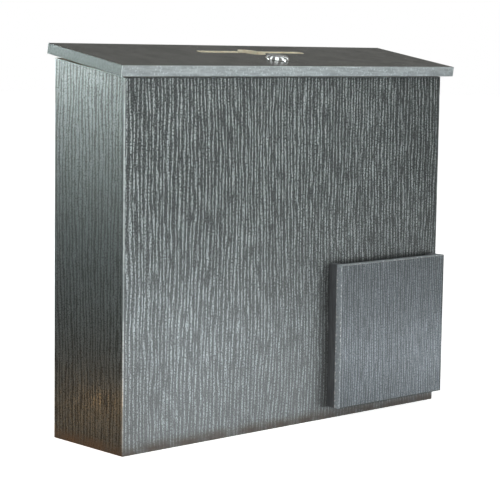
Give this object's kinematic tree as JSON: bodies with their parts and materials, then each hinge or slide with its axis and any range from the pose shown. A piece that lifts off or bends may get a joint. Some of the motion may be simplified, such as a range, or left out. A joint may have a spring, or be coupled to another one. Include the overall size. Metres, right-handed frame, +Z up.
{
  "type": "donation box",
  "caption": "Shallow board donation box with a sloped lid on rear hinges, a slot with a round widening, a cam lock and an open pocket at the front.",
  "frame": {"origin": "centre of the body's footprint, on the face that the box stands on", "axes": "+X to the right seen from the front and along the longest side, +Y to the back, +Z up"},
  "size_m": [0.4, 0.1131, 0.3367],
  "materials": {
    "body_laminate": "satin laminate on fibreboard, embossed with a vertical wood grain, silvery streaks on charcoal",
    "lid_laminate": "smooth semi-gloss dark grey laminate on fibreboard",
    "painted_strip": "matt black painted fibreboard",
    "edge_band": "satin light grey edge banding",
    "bumper_felt": "matt black self-adhesive bumper",
    "chrome": "bright chrome plate",
    "zinc_steel": "zinc-plated pressed steel"
  },
  "bodies": {
    "base": {"front_panel": "body_laminate", "back_panel": "body_laminate", "left_panel": "body_laminate", "right_panel": "body_laminate", "bottom_panel": "body_laminate", "pocket_front": "body_laminate", "pocket_left_strip": "painted_strip", "pocket_right_strip": "painted_strip", "pocket_bottom_strip": "painted_strip", "pocket_band_left": "edge_band", "pocket_band_right": "edge_band", "pocket_band_bottom": "edge_band", "pocket_band_top": "edge_band", "bumper_left": "bumper_felt", "bumper_right": "bumper_felt", "hinge_left_body_leaf": "zinc_steel", "hinge_left_body_screw_1": "zinc_steel", "hinge_left_body_screw_2": "zinc_steel", "hinge_left_pin": "zinc_steel", "hinge_right_body_leaf": "zinc_steel", "hinge_right_body_screw_1": "zinc_steel", "hinge_right_body_screw_2": "zinc_steel", "hinge_right_pin": "zinc_steel", "strike_bracket": "zinc_steel", "strike_screw_1": "zinc_steel", "strike_screw_2": "zinc_steel"},
    "lid": {"lid_panel": "lid_laminate", "lid_band_front": "edge_band", "lid_band_rear": "edge_band", "lid_band_left": "edge_band", "lid_band_right": "edge_band", "lock_housing": "chrome", "lock_nut": "zinc_steel", "hinge_left_lid_leaf": "zinc_steel", "hinge_left_lid_screw_1": "zinc_steel", "hinge_left_lid_screw_2": "zinc_steel", "hinge_right_lid_leaf": "zinc_steel", "hinge_right_lid_screw_1": "zinc_steel", "hinge_right_lid_screw_2": "zinc_steel"},
    "lock_cylinder": {"lock_plug": "chrome", "lock_cam": "zinc_steel", "cam_washer": "zinc_steel", "cam_screw": "zinc_steel"}
  },
  "joints": [
    {"name": "lid_hinge", "type": "hinge", "parent": "base", "child": "lid", "pos_m": [0, 0.0489, 0.32643], "axis": [-1, 0, 0], "range_deg": [0, 200]},
    {"name": "lock_turn", "type": "hinge", "parent": "lid", "child": "lock_cylinder", "pos_m": [0, -0.02282, 0.32517], "axis": [0, 0.1692, -0.9856], "range_deg": [0, 90]}
  ]
}
